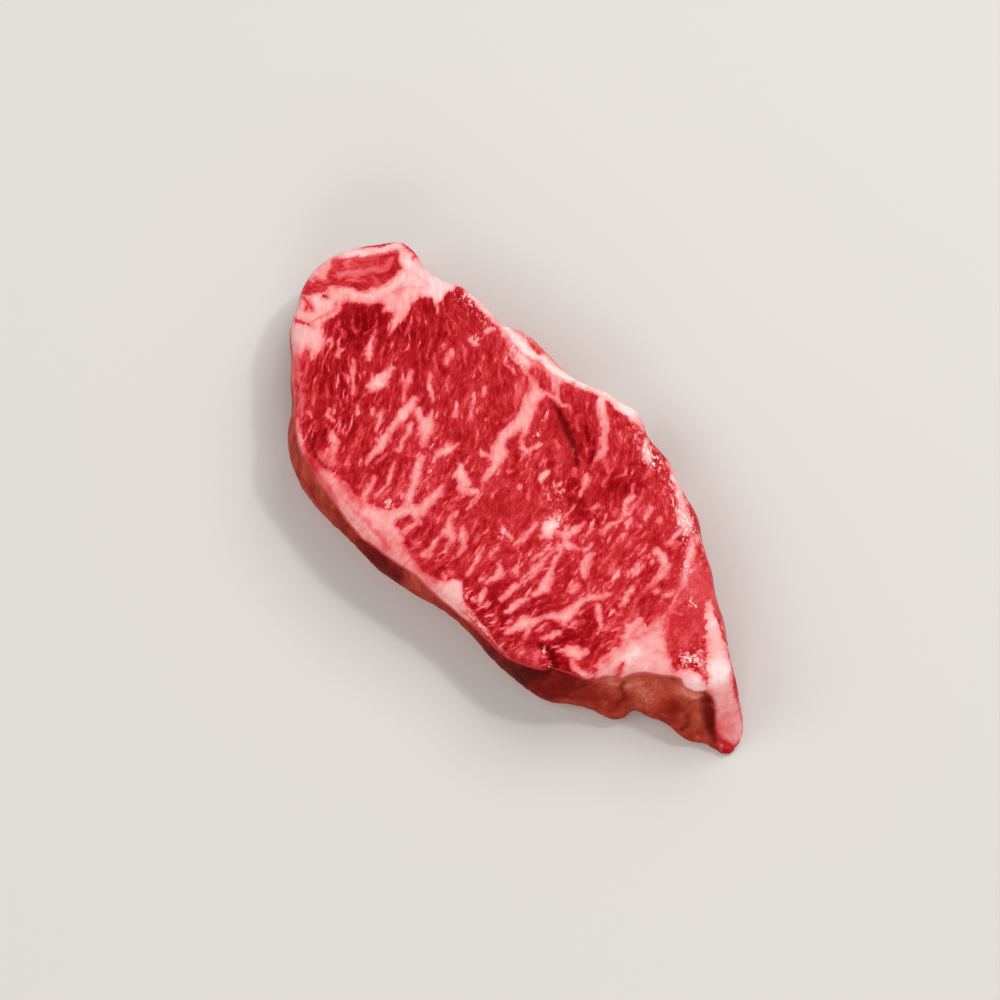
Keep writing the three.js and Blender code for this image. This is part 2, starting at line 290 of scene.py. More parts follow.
        [(-57.4, -35.4, 1.4), (-54.6, -37.1, 3.2), (-51.1, -39.9, 2.6), (-47.8, -43.2, 1.4)],
        [(-53.4, -41, 1.6), (-52, -43.8, 3.4)],
        [(-52.2, -18.2, 0.9), (-50, -20.4, 1.8), (-48.6, -22.7, 1.4)],
        [(-55.2, -20, 1.4), (-53.8, -20.6, 1.6)], [(-35, -34.9, 1), (-33, -38.6, 2.2), (-31.1, -43.2, 2)],
        [(-35, -26, 1), (-32.2, -29.9, 1.6), (-30, -34.9, 1.3), (-29.2, -39.3, 1)],
        [(-38.6, 4.4, 1.2), (-37, 2.8, 1.8), (-35.6, 1.2, 1)],
        [(-37.8, 16, 1.2), (-36, 14.8, 1.6), (-34.8, 13.8, 0.8)],
        [(-37.2, 11.6, 1.1), (-33.9, 8, 1), (-30.6, 4.1, 1)],
        [(-54.8, 14.8, 1.8), (-54, 13, 2.4), (-52.4, 10.8, 1.2)], [(-53, 32, 1.4), (-53.4, 29, 1.8)],
        [(-54.4, 24, 1.4), (-52.2, 23.4, 1.8)], [(-42.8, 29.7, 0.8), (-39.4, 26.9, 0.9), (-35, 27.2, 0.7)],
        # middle
        [
            (-19.6, -9.1, 2), (-17, -10.8, 4), (-14, -11.8, 3.8), (-12.4, -14, 3.6),
            (-10.6, -12.3, 2.4), (-9, -10.4, 1.4),
        ],
        [(-18.4, -10.8, 1.6), (-17.6, -13, 1.8)],
        [(-7.8, -20.4, 1.2), (-6.4, -23.4, 2), (-5, -25.8, 2.8), (-3.4, -26.8, 3.8), (-1.4, -26.6, 2.6)],
        [(-4.4, -27.6, 1.6), (-3.9, -30.4, 1.4), (-2.5, -34.9, 1.6), (-2.1, -38.6, 2.6)],
        [(-2.6, -26.8, 2.4), (-0.5, -28.7, 1.3), (1.6, -33.1, 0.9)], [(-12.8, -33, 1.6), (-12.7, -39, 1.6)],
        [(-1.4, -22.8, 1.8), (0.6, -23.8, 3), (3.2, -26.6, 1.8), (4.9, -29.8, 1.2)],
        [(8.2, -21.4, 0.8), (9.6, -24.8, 1.3), (11.6, -28.7, 1.5), (12.7, -31.4, 1.1)],
        [(0.6, 12.8, 2.2), (0.9, 10.4, 2.6)], [(-1.4, 1.9, 1.8), (-1.3, 1.2, 1.8)],
        [(10.4, 22.8, 1.8), (11.6, 21.6, 3), (13.6, 18.6, 1.2), (14.6, 15.7, 0.8)],
        [(15, 5.4, 1.6), (16.6, 5, 1.8)], [(14.8, 3.6, 1.8), (16.4, 1.6, 5), (18.2, -1, 4.6), (18, -3, 2)],
        [(13.2, -2, 1.7), (14, -6, 1.8), (14.6, -10.8, 2.1), (14.6, -12.8, 1)],
        [(5.8, -12.2, 0.9), (7.6, -13, 1.6), (9.9, -12.9, 2), (12.1, -12.7, 0.9)],
        # right of the middle
        [(22.9, 11, 1), (22.9, 8, 2.2), (23.2, 5, 2.4), (22.4, 2.9, 3.6)],
        [(20.4, 1.8, 1.6), (22.4, 2.9, 3), (24.6, 1.6, 2.2), (27.4, 2.2, 1.8), (29.3, 3, 1)],
        [
            (24.6, 1, 1.4), (25.6, -0.8, 1.5), (26.6, -4.2, 1.6), (28.8, -8.1, 2.2),
            (30.8, -11, 4), (32.4, -14.8, 4.2), (32.2, -18.2, 2.4),
        ],
        [(24.3, 0.8, 1), (24.6, -3.7, 1), (24.9, -10, 2), (25.4, -13.6, 2.8), (26.4, -16.2, 1.6)],
        [(21, 18.6, 1), (21, 16, 1.2)], [(26.3, 11.8, 1), (27.4, 7.9, 1.3)],
        [(30.2, 8.4, 1), (30.5, 4.4, 1.4)], [(26, 30.4, 1.8), (26.6, 27.3, 2.6), (27.9, 24, 1.2)],
        [(29.6, 21.4, 1), (29, 17, 1.9), (29.2, 14.4, 1.7), (29.7, 12.6, 0.8)],
        [(33.9, 32.6, 1.4), (34.4, 30.4, 2.2), (35, 28.2, 1.4)], [(38.4, 32, 1), (39, 30.8, 1.6)],
        [(31.8, 24.6, 1), (32.2, 22.4, 2), (33.2, 20.6, 1.2)],
        [(33, 5.2, 2), (34.8, 2, 3.4), (36.8, -0.3, 3), (38, -1.6, 1.4)],
        [(39.4, -5.4, 1.2), (39, -8.4, 2.2), (37.6, -6.6, 1)],
        [
            (48.2, 0.8, 1.8), (47.6, -1.8, 3), (45, -4.8, 2.4), (43.8, -8.1, 2.2), (44.5, -12, 3.4),
            (44.9, -15, 4.2), (42.3, -18.4, 3), (41, -21.4, 2), (40, -25, 2),
        ],
        [(45.4, -15.6, 2), (46.8, -17.8, 1.5)], [(49.3, -4.6, 1.4), (52.1, -6.1, 2.4), (55.2, -7.8, 2.6)],
        [(47.9, -21, 1.6), (47, -24, 2.6), (46, -26.6, 1.8)], [(20.8, -18.8, 1.4), (23.2, -18.8, 1.6)],
        [(17, -21.4, 2), (18.7, -22.6, 3.6), (19.2, -25.6, 2.4), (19, -28.4, 1.6)],
        [(26.3, -21.2, 1.8), (26.6, -25, 2.4), (26.8, -28.6, 1.6)],
        [(31.9, -21.6, 1.8), (31.6, -26, 2.5), (31.2, -30, 1.4)],
        [(39.4, -24.6, 2.4), (38.2, -27.4, 4.6), (37.2, -30.8, 3.2), (36.8, -34.8, 1.6)],
        [(40.4, -27.6, 1.6), (42, -30.6, 1)], [(20.4, -30.6, 1.4), (21.4, -33, 2.2), (23, -35.4, 1.2)],
        [
            (46.4, 23.4, 2.4), (49.3, 23.4, 3.8), (53, 23, 2.6), (53.9, 20, 2.2), (53.9, 17, 2),
            (54.6, 12.6, 1),
        ],
        [(51.4, 8.6, 2), (52.6, 5.4, 2.2), (54, 2, 1.8)], [(57.1, 15, 1.8), (57.2, 13.6, 1.8)],
        [(60.7, 18.6, 1.2), (60.4, 15.4, 1.6)], [(58.6, -18.2, 2.6), (57, -20.5, 5), (54.6, -22, 3.4)],
        [(58.4, -23, 2), (61.6, -24, 2.8), (64.9, -23.2, 2.4), (67, -21.6, 2)],
    ],
    "faintFlecks": [
        [
            (-96.5, 21.4, 1.8), (-95.2, 17.4, 3.2), (-97.2, 12.8, 2.6), (-99.2, 8.6, 3),
            (-101, 5.8, 2.8), (-103.3, 3.1, 1.4),
        ],
        [(-98.6, 16.6, 0.8), (-96.8, 16, 1)], [(-96, 8.1, 0.8), (-97.6, 6.2, 1.2), (-99.4, 4.4, 0.9)],
        [(-95, 11.8, 0.8), (-91.6, 11.8, 0.9)], [(-105.4, 8.2, 1.4), (-104.6, 6.8, 2)],
        [(-106, 0, 1), (-104.4, -2.6, 1.4)], [(-73, 11.6, 1), (-71.4, 9, 1.9), (-69.9, 6.6, 1)],
        [(-64.9, 21, 0.8), (-60.4, 18.2, 0.8)], [(-63.2, 12.1, 0.8), (-60.4, 9.3, 1.1), (-59.3, 7.1, 0.7)],
        [(-88.2, -7.9, 1), (-87.5, -12, 1)],
        [(-86.4, -4.4, 1), (-85, -6, 1.1), (-83, -6.2, 1.1), (-81.6, -4.6, 1.2), (-83, -3.4, 0.9)],
        [(-86.4, -10, 0.9), (-84.4, -9, 1), (-82.6, -10.4, 0.9)], [(-75, -1.8, 0.8), (-73.4, -4.8, 1)],
        [(-72, -1.4, 0.8), (-69.6, -3.8, 1)], [(-83, 3.6, 0.6), (-80.6, 1.8, 0.8)],
        [(-80.4, 1.6, 0.8), (-79, -1.4, 1), (-79.4, -4.4, 0.8)], [(-66.6, -25.6, 1), (-61.6, -27.8, 1.1)],
        [(-72.7, -26.1, 0.9), (-70.4, -27.8, 1), (-68.8, -28.9, 0.8)],
        [(-74.9, -30, 1), (-72.1, -32.2, 1.5), (-69.9, -34.4, 1.6)],
        [(-60.4, -35.6, 1.2), (-57.5, -37, 1.2)],
        [(-75, -35, 2.4), (-71.8, -38.6, 2.4), (-69.4, -41.4, 2.6)], [(-57.1, 9.1, 1), (-52.8, 6.3, 1)],
        [(-52.8, 19.1, 1), (-48.3, 15.2, 1.1)], [(-32.2, 29.1, 1), (-28.3, 25.8, 1.2)],
        [(-31, 26, 1.6), (-28.5, 24, 3.2), (-25.8, 20.8, 2.6)],
        [(-39.4, 23.3, 0.7), (-36.1, 22.4, 0.7), (-33.6, 21, 0.6)],
        [(-36.7, -17.1, 1), (-34.4, -20.4, 1.1)], [(-38.9, -26, 1.4), (-38.5, -30.4, 1.6)],
        [(-37.8, -36, 1.3), (-35.6, -41, 1.5)], [(-30, -25.4, 1), (-27.8, -28.8, 1.2), (-24.6, -34.6, 1.1)],
        [(-48.3, -25.4, 1), (-45.6, -28.8, 1.1)],
        [(-53.3, -26, 0.8), (-50.6, -30.4, 1), (-47.2, -36, 1), (-43.3, -40.4, 0.9)],
        [(-28.8, -33, 1.2), (-27.6, -38.4, 1.6)],
        [(-25.6, -15.4, 0.8), (-23.9, -19.3, 0.9), (-22.2, -24.9, 1.1), (-21.4, -29, 1.2)],
        [(-20.3, -15.8, 1.2), (-20, -17.2, 1.2)], [(-10.6, -12.7, 2), (-7.8, -11.4, 1.6)],
        [(-11.1, -27.1, 0.8), (-8.9, -31.6, 1), (-8, -34.9, 1), (-8.3, -38.8, 1.4)],
        [(-11, -20.6, 1.6), (-10.2, -22, 1.4)], [(-23.4, 17, 0.8), (-23.2, 14, 1.2), (-22.8, 12, 0.8)],
        [(-29.6, 24.6, 1.6), (-27.6, 22.6, 2.6), (-25.4, 19.6, 1.6)],
        [(-6.4, 21.4, 1.5), (-4.2, 21.2, 1.5)], [(-6, 14.2, 2), (-5.2, 13, 2)],
        [(-9.4, 34.7, 0.9), (-4.4, 30.8, 1.2)],
        [(8.5, 31.5, 1.6), (10.8, 31.8, 1.6), (14.3, 29, 1.3), (16.6, 24.6, 1.6)],
        [(6, 20.8, 2.4), (7.6, 19.4, 2.4)], [(3.6, 16.4, 1.4), (4, 15, 1.4)],
        [(1.6, 4.1, 1), (4.3, 1.3, 1.2)], [(20.8, 42, 1.2), (22.8, 40.2, 2.2), (23.6, 37.2, 1.8)],
        [(26.6, 34.6, 1.4), (29.3, 31.2, 1.6), (29.9, 27.3, 1.6), (29.7, 22, 1.2)],
        [(26, 22.9, 1.4), (27, 20.6, 1.4)], [(48.2, 31.2, 1.6), (49.2, 29.4, 1.8)],
        [(36, 15, 1.4), (36.2, 12, 1.5)], [(37.4, 10.6, 1.1), (37.9, 6.4, 1.4)],
        [(40.4, 10.1, 1), (42.1, 5.7, 1.3), (43.5, 9.6, 1)], [(40.4, -1.4, 1.1), (43.2, -3.7, 1.4)],
        [(20.4, -2, 0.8), (21.6, -8.7, 0.9), (21.8, -13.1, 0.9)], [(28.5, -30.9, 1), (29.1, -34.8, 1)],
        [(27.1, -32, 0.9), (27.7, -35.9, 0.9)], [(32.9, -34.8, 1), (33.8, -38.1, 1)],
        [(41.6, -35.3, 0.9), (42.2, -38, 0.9)], [(43.4, -31.8, 0.9), (44.9, -35.9, 1.1)],
        [(3.2, -36.4, 1), (3.8, -39.4, 1)], [(8.8, -34.8, 1), (8.8, -38.1, 1.1)],
        [(4, -20.8, 1.4), (4.4, -22, 1.4)], [(55.4, 8.2, 1), (58.8, 0.4, 1.2), (62.1, -5.1, 1)],
        [(48.4, -31, 2.4), (51.4, -33.6, 2.4)], [(22, -41.4, 1.8), (32, -41.4, 2), (42, -41.2, 1.4)],
        [(64.6, 18.4, 1), (65.4, 15, 1.2), (66, 13, 1.4), (68.6, 15.6, 0.8)],
        [(66, 13, 1.2), (69, 8.4, 1), (72, 5, 1)], [(66, 13, 1.2), (64, 8, 1.2), (62.6, 4, 1)],
        [(50, 14, 0.9), (53, 6, 1.1), (56, -2, 1.1), (58, -10, 0.9)],
        [(55, 10, 0.9), (58, 2, 1.2), (61, -6, 1.2), (63, -12, 1)],
        [(49, 8, 0.8), (51.6, 0, 1), (54, -9, 0.9), (57.6, -16, 0.8)],
        [(58, 6, 0.9), (60, 0, 1.2), (62, -5, 1)], [(59, -9, 1), (61, -15, 1.2), (64.6, -21, 1)],
        [(82, 12, 2), (86, 9.6, 3), (90, 8.6, 3)], [(86, 22, 2), (80, 24.4, 1.6)],
    ],
    "fatTonesAndHighlights": [  # x, y, reach, how much paler or pinker the fat is there; some pale spots are partly painted highlights
        (-78, 27.5, 8, 0.38), (-91, 25, 4, 0.34), (-88, 17, 10, 0.04), (-99, -9, 3.5, 0.22),
        (-93, -21, 6, 0.1), (-84, -27, 5, -0.34), (-77, -35, 5, -0.34), (-69, -41, 4, -0.2),
        (-105, 12, 5, 0.24), (-99, 24, 4, 0.2),
        (-37, 32.5, 2.5, 0.3), (-62, 34, 9, 0.34), (-11, 46, 5, 0.4),
        (0, 48.6, 6, 0.5), (-30, 35, 4, -0.16),
        (-21, 22, 6, -0.02), (-63, -43, 2.5, 0.3), (-52, -47, 5, -0.5), (-40, -49, 6, -0.1),
        (-33, -45, 9, -0.06), (-28, -50, 7, -0.02), (-15, -46.6, 5, -0.14), (-8, -45, 9, -0.16),
        (6, -43.4, 6, -0.16), (14, -38, 5, 0.28), (-15, 5, 7, 0.02), (-47, -11, 4, 0.1), (-15, -12, 5, 0.1),
        # partly painted highlights: the paler spots on the next line lie where the face throws glints
        (17, 1.6, 3, 0.34), (0.7, 11.6, 2.5, 0.3), (44, 38.5, 5, 0.12), (34, 44, 6, 0.26), (17, 45, 4, 0.3),
        (-24.5, -36.4, 2, 0.4), (71, -5, 4, 0.14), (90, 4, 5, 0.24), (92, 13, 6, 0.46), (83, 18, 4, 0.1),
        (-62, -11.5, 3, 0.2),
        (77, 22, 5, 0.3), (106, 5, 6, -0.1), (111, 0, 5, -0.2), (63, -17, 6, -0.12), (63.5, -1, 3, -0.16),
        # partly a painted highlight: the small pale spot at 82.5, 7 in the tail's cluster of glints
        (57, 31, 6, 0.06), (82.5, 7, 1.8, 0.3), (30, -39.6, 5, 0.25), (64, 8, 4, -0.12),
    ],
    "fatLines": [  # how much paler or pinker along a line of (x, y, width)
        (0.36, [(-50, 35.4, 1.2), (-44, 36, 2.4), (-38, 36, 2.4), (-34.4, 37.8, 1.2)]),
        (0.43, [(-33, 38.2, 1.2), (-27, 39, 2), (-21, 40.6, 1.6), (-16, 43.6, 1.6)]),
        (-0.22, [(-48, 38, 0.8), (-40, 39.8, 1.4), (-30, 41.4, 1)]),
        (-0.24, [(-47, 33.6, 0.6), (-41, 33, 1), (-36, 34.8, 0.7), (-30, 37, 0.7)]),
        (-0.3, [(-94.8, -3.6, 0.8), (-93.6, -7, 1.2), (-93.8, -11, 1.2), (-94.6, -15, 0.8)]),
        (-0.16, [(-86, 13, 0.6), (-84, 18, 0.8), (-80, 22.4, 0.6)]),
        (-0.16, [(-90, -28, 1.2), (-84, -31, 1.6), (-80, -34.6, 1)]),
        (-0.22, [(-44, -44.6, 0.8), (-34, -45.3, 1.8), (-29, -45, 1)]),
        (-0.2, [(-34, -47.4, 0.8), (-24, -46.6, 1), (-12, -46.2, 0.8)]),
        (-0.26, [(-56, -47.6, 0.8), (-50, -49.2, 2.2), (-43, -49.8, 2.2), (-35, -50.4, 1)]),
        (-0.2, [(22, -41.6, 2), (32, -41.4, 2), (42, -41, 1.4)]),
        (0.2, [(-98, 26.4, 1.2), (-101.4, 19.6, 2), (-106, 11.6, 2.4), (-109.6, 6.6, 1)]),
        (-0.2, [(97, 2.8, 1), (103, 0.8, 1.2), (108, -1.4, 1.2)]),
        (-0.16, [(86.6, 10, 2), (88.4, 7.4, 2.4), (90, 7.4, 1)]),
        (-0.2, [(68.6, 8.4, 1), (66.6, 3, 1), (65.4, -3, 0.8), (66, -8, 0.8)]),
        (-0.16, [(63.6, 3, 0.8), (64.4, -4, 1), (64.6, -12, 0.8), (66.6, -17, 0.8)]),
        (0.14, [(70, -4, 1), (70, -9, 2), (68.4, -14, 1.6)]),
        (-0.16, [(-73, -35, 1), (-80, -30, 1.6), (-86, -24, 1)]),
        (-0.14, [(-92, 20, 0.6), (-87, 23.5, 0.8), (-80, 25, 0.8)]),
        (0.14, [(-96, 1, 1), (-90, 6, 1.4), (-87.6, 12, 2), (-88, 20, 2)]),
        (-0.14, [(75, 2, 1), (73, -2, 1)]),
    ],
    "leanTonesAndShade": [  # and the lean, brighter or darker; a few dark spots are painted shade, under the lifted flap and in the corner by the tail's wall
        (-66, 12, 14, -0.26), (-68, -24, 13, -0.22), (-54, -31, 11, -0.14),
        (-84, -3, 11, -0.3), (-74, 8, 7, -0.16), (-84, -12, 7, -0.12), (-73, 24, 5, -0.15),
        (-57.5, -39.6, 4, -0.24), (-61, 20, 16, 0.06), (-46, -3, 6, -0.12), (-30, 12, 6, -0.12),
        (-7, -35, 6, -0.2), (-16, 25, 6, -0.05), (-2, 31, 8, -0.12), (19.5, 28, 5, -0.4), (22, 34, 4, -0.2),
        (17, 14, 4.5, -0.4), (9.6, 16, 3, -0.3), (-84, -5, 6, -0.15), (30, -33, 12, -0.32),
        # painted shade under the lifted flap
        (51, -26, 6, -0.35),
        (50, 18, 6, -0.1), (37, 13, 8, 0.1), (52, -13, 8, -0.22), (61, -13, 5, -0.2), (65, 27, 9, 0.44),
        (73, 12, 8, 0.27), (-105, 8, 8, 0.3), (-97, 14, 6, 0.24), (-92.5, 17, 4, -0.12), (-96, 5, 4, -0.12),
        (-2, 2, 12, 0.06), (10, -8, 12, 0.06), (-104, -5, 5, 0.1),
        (36, 36, 9, 0.12), (-24, -2, 5, -0.08), (50.5, -32.5, 4.5, 0.3), (-35, -33, 7, -0.14),
        # the last spot on the next line is painted shade in the corner by the tail's wall
        (24, -33, 6, -0.1), (-76, -22, 8, -0.08), (-60, 5, 9, 0.04), (62, -30, 8, -0.4),
    ],
    # painted shade: darker lines along the creases, the lip's inner edge and under the lifted flap; the one
    # positive line is paler lean between two creases
    "leanLinesAndShade": [
        (-0.2, [(-17.8, 30.4, 1), (-10, 29.6, 2), (-4, 27.4, 2.4), (0, 25.2, 2), (4.4, 22.8, 1)]),
        (-0.42, [(-4, 33.6, 0.6), (1.6, 31.8, 1.8), (5.6, 29.6, 1.4), (7, 26.6, 0.6)]),
        (0.16, [(-12, 33, 1.6), (-4, 31.4, 1.8), (2, 28.6, 1.4)]),
        (-0.12, [(-61.4, -41.8, 1), (-58.8, -43.6, 1.8), (-54, -45.4, 1.4), (-46, -45.4, 1)]),
        (-0.3, [(47, -28.4, 1.4), (51, -27, 2.4), (55.5, -29, 2.6), (57, -33, 2.4)]),
    ],
    "ragged": [  # where the fat's edge is feathered
        (62, -8, 7, 1), (63, 4, 5, 1), (67, -20, 4, 0.8), (-86, -16, 4, 0.6), (-84, -24, 5, 0.8),
        (-78, -34, 5, 0.8), (-73, 26, 6, 0.3), (-21, -33, 5, 0.6), (-12, -36, 4, 0.3), (-78, 12, 6, 0.5),
        (-102, -4, 6, 0.5), (-45, -44.5, 6, 0.4), (75, 22, 5, 0.5), (84, 10, 5, 0.7),
    ],
    "fineFlecks": [  # where small flecks crowd the lean
        (-50, -30, 22, 0.4), (20, -10, 30, 0.4), (-70, -20, 16, 0.3), (40, 20, 22, 0.6), (-5, -15, 18, 0.3),
        (-66, 14, 12, 0.35),
    ],
    "calm": [  # where the lean is smooth
        (-98, 12, 9, 0.9), (70, 13, 9, 1), (64, 27, 6, 0.8), (-84, -2, 8, 0.6), (-86, 8, 5, 0.5),
        (-50, 20, 18, 0.35), (4, -8, 10, 0.5), (-8, 27, 8, 0.6), (-15.4, -36.4, 3, 0.9), (74, 20, 5, 0.8),
    ],
    "wetSpotsAndGlints": [  # where the cut face is pitted and glossy and throws glints, with painted highlights as pale dots in its colour
        (45, 38.5, 4, 1), (38, 41.5, 4, 1), (30, 44.6, 3, 0.8), (17, 44, 4, 0.9), (22, 43.6, 3, 0.7),
        (50, 34.6, 3, 0.6), (83, 8, 4.5, 1),
        (16, 3, 3, 0.9), (8.5, 10, 3, 0.8), (-43, 17, 3, 0.5), (-54, 25.6, 2, 0.8), (-12.8, 19, 1.6, 0.9),
        (9, -13, 3, 0.5), (-67, 33, 4, 0.8), (-70, 29.4, 1.8, 0.8), (-58, 33, 4, 0.6), (58, 27, 3, 0.8),
        (54.5, -30.5, 1.2, 0.8),
        (-24.4, -36.3, 1.8, 0.9), (-42, 36, 4, 0.7), (66, 20.5, 3, 0.6), (-37, 33, 4, 0.4), (8, 47, 4, 0.5),
    ],
    # painted highlights: thin pale glint lines painted into the colour, with a coat over them
    "paintedGlintLines": [
        [(-27.8, 9.1, 0.1), (-26.4, 4.7, 0.1)], [(-16.7, 28.6, 0.2), (-15, 24, 0.1), (-14.2, 22.4, 0.1)],
        [(-4.4, 0.2, 0.1), (-3.3, -3.7, 0.1)], [(-35.6, -4.6, 0.1), (-33, -9.4, 0.1)],
        [(-32.6, -10.4, 0.1), (-30.4, -15.6, 0.2)],
        [(-24.6, -18, 0.2), (-23.6, -21, 0.3), (-22.6, -25, 0.3), (-22.2, -28, 0.2)],
        [(-22.4, -19.4, 0), (-21, -24, 0.1)], [(22, -40.4, 0), (27, -40.4, 0.3), (34, -39.8, 0)],
        [(48.4, -27.8, 0.8), (49.6, -28.6, 0.9), (50.4, -29.6, 0.2)], [(53.6, -29.6, 0.2), (55, -31, 0.5)],
        [(63, 21.2, 0.2), (66, 20.8, 0.3), (70, 21.4, 0.2)], [(57.4, 29, 0), (59, 26, 0.3), (60, 23.6, 0)],
        [(-12.8, 19.6, 0.8), (-11.6, 18.6, 0.4)], [(79.4, 5.2, 0.2), (81.2, 6.6, 1.1), (82.6, 8, 0.4)],
        [(84.2, 7.6, 0.2), (86.2, 6.4, 0.6)], [(84, 11, 0.1), (88, 8.6, 0.3)],
        [(86, 12, 0.1), (89.4, 9.6, 0.3)], [(80.6, 11.8, 0.1), (83, 10, 0.4)],
    ],
    "foldsWithShade": [  # hollows in the cut face, sunk in the relief and darkened with painted shade: lines of (x, y, width)
        [
            (-18, 30.4, 0.6), (-13, 29.9, 1.3), (-9, 29.1, 1.9), (-5, 27.5, 2.3), (-1, 25.7, 1.8),
            (5, 22.6, 0.6),
        ],
        [(-61.4, -42, 0.2), (-58.8, -43.9, 0.6), (-54, -45.6, 0.4), (-48, -45.6, 0.1)],
        [(47, -28.4, 0.6), (51, -27.2, 1.4), (55.5, -29, 1.6), (57, -33, 1.2)],
    ],
    "faceRim": [  # where the cut face ends on the sides that slope out; it runs wide past the others
        (-70, -42.6), (-66, -45.2), (-62, -47), (-58, -48.4), (-53.3, -49), (-46.7, -50.7),
        (-37.8, -51), (-28.9, -51.3), (-20, -51.4), (-15.6, -49.9), (-10, -48.8), (-4.4, -47.1),
        (1.6, -45.3), (12.7, -44.4), (18.2, -43.7), (26, -43), (34, -42.3), (40, -41.8), (46, -39.2),
        (50, -36.8), (54, -34), (57, -30), (61, -26.8), (66, -24), (68.3, -21.8), (69, -19),
        (71, -16.4), (74, -14.2), (75, -10.5), (77, -7), (80.5, -4), (83.5, -1), (86, 0.4), (89.3, -0.1),
        (93, 1.5), (95, 4.6), (98.5, 4.4), (103, 2), (107.5, -0.6), (111, -2.6), (118, -6), (130, 12),
        (90, 70), (-60, 70), (-140, 40), (-140, -30), (-100, -50),
    ],
    "sideTonesAndShade": [  # paler or deeper on the sides: painted shade where the sides lie in shadow, painted light on the end wall's lit facets, and some tone of their own
        (94, -6, 3.5, -0.1), (86, -3.5, 3, 0.06), (84, -12, 5, 0.36), (79, -8, 4, 0.06), (78, -10, 5, 0.1),
        (92, -1, 4, 0.18), (94, 1, 3, 0.1), (98, -7, 6, 0.15),
        (104, -6, 5, 0.1), (76, -24, 6, 0.06), (73, -17.5, 4, 0.2), (62, -30, 8, -0.24),
        (52, -40, 9, -0.45), (38, -45, 7, -0.4), (20, -46, 9, -0.2), (-4, -54, 9, -0.5),
        (-16, -56, 7, -0.4), (97.5, -12, 5, -0.16), (-44, -53, 8, -0.02), (-30, -55, 5, -0.24),
        (2, -48.4, 5, 0.16), (97, 0.6, 3, 0.16), (82, -21, 4, -0.06),
    ],
    # creases in the end wall and the groove by the tongue, sunk in the relief and darkened with painted shade
    "sideFoldsWithShade": [
        [(95.4, 4.2, 0.2), (97.8, 3, 2.4), (102, 0.4, 3.6), (107, -2.2, 3), (111, -4.4, 1.6)],
        [(75.6, -14.2, 0.2), (77.2, -17, 0.6), (80, -18.4, 0.4)], [(80, -18.4, 0.3), (80.6, -22, 0.3)],
        [(98, -5.4, 0.2), (101, -7, 0.6), (102, -10, 0.3)],
    ],
}


def makeSkin(source):
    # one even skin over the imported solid: merged, remeshed, smoothed, finer where the cut face is
    mesh = source.data.copy()
    loose = bmesh.new()
    loose.from_mesh(mesh)
    bmesh.ops.remove_doubles(loose, verts=loose.verts, dist=0.001 * mm)
    loose.to_mesh(mesh)
    loose.free()
    mesh.materials.clear()
    piece = bpy.data.objects.new("sirloinSteak", mesh)
    bpy.context.scene.collection.objects.link(piece)
    remesh = piece.modifiers.new("even", "REMESH")
    remesh.mode = "VOXEL"
    remesh.voxel_size = steak["voxel"] * mm
    remesh.use_smooth_shade = True
    relax = piece.modifiers.new("relax", "SMOOTH")
    relax.iterations = steak["smoothing"]
    relax.factor = 0.5
    applyModifiers(piece)

    fine = bmesh.new()
    fine.from_mesh(piece.data)
    fine.normal_update()
    face = [
        f for f in fine.faces
        if f.normal.z > steak["finerSlope"] and f.calc_center_median().z > steak["finerAbove"] * mm]
    edges = {edge for f in face for edge in f.edges}
    bmesh.ops.subdivide_edges(fine, edges=list(edges), cuts=1, use_grid_fill=True)
    fine.to_mesh(piece.data)
    fine.free()
    relax = piece.modifiers.new("relax", "SMOOTH")
    relax.iterations = steak["finerSmoothing"]
    relax.factor = 0.5
    applyModifiers(piece)
    return piece


def applyModifiers(piece):
    evaluated = piece.evaluated_get(bpy.context.evaluated_depsgraph_get())
    made = bpy.data.meshes.new_from_object(evaluated)
    piece.modifiers.clear()
    old = piece.data
    piece.data = made
    bpy.data.meshes.remove(old)


def readMesh(mesh):
    flat = np.empty(len(mesh.vertices) * 3, np.float32)
    mesh.vertices.foreach_get("co", flat)
    points = flat.reshape(-1, 3).astype(float)
    mesh.vertices.foreach_get("normal", flat)
    return points, flat.reshape(-1, 3).astype(float)


def writeAttribute(mesh, name, values):
    kind = "FLOAT" if values.ndim == 1 else "FLOAT_VECTOR"
    layer = mesh.attributes.new(name, kind, "POINT")
    layer.data.foreach_set("value" if values.ndim == 1 else "vector", values.astype(np.float32).ravel())


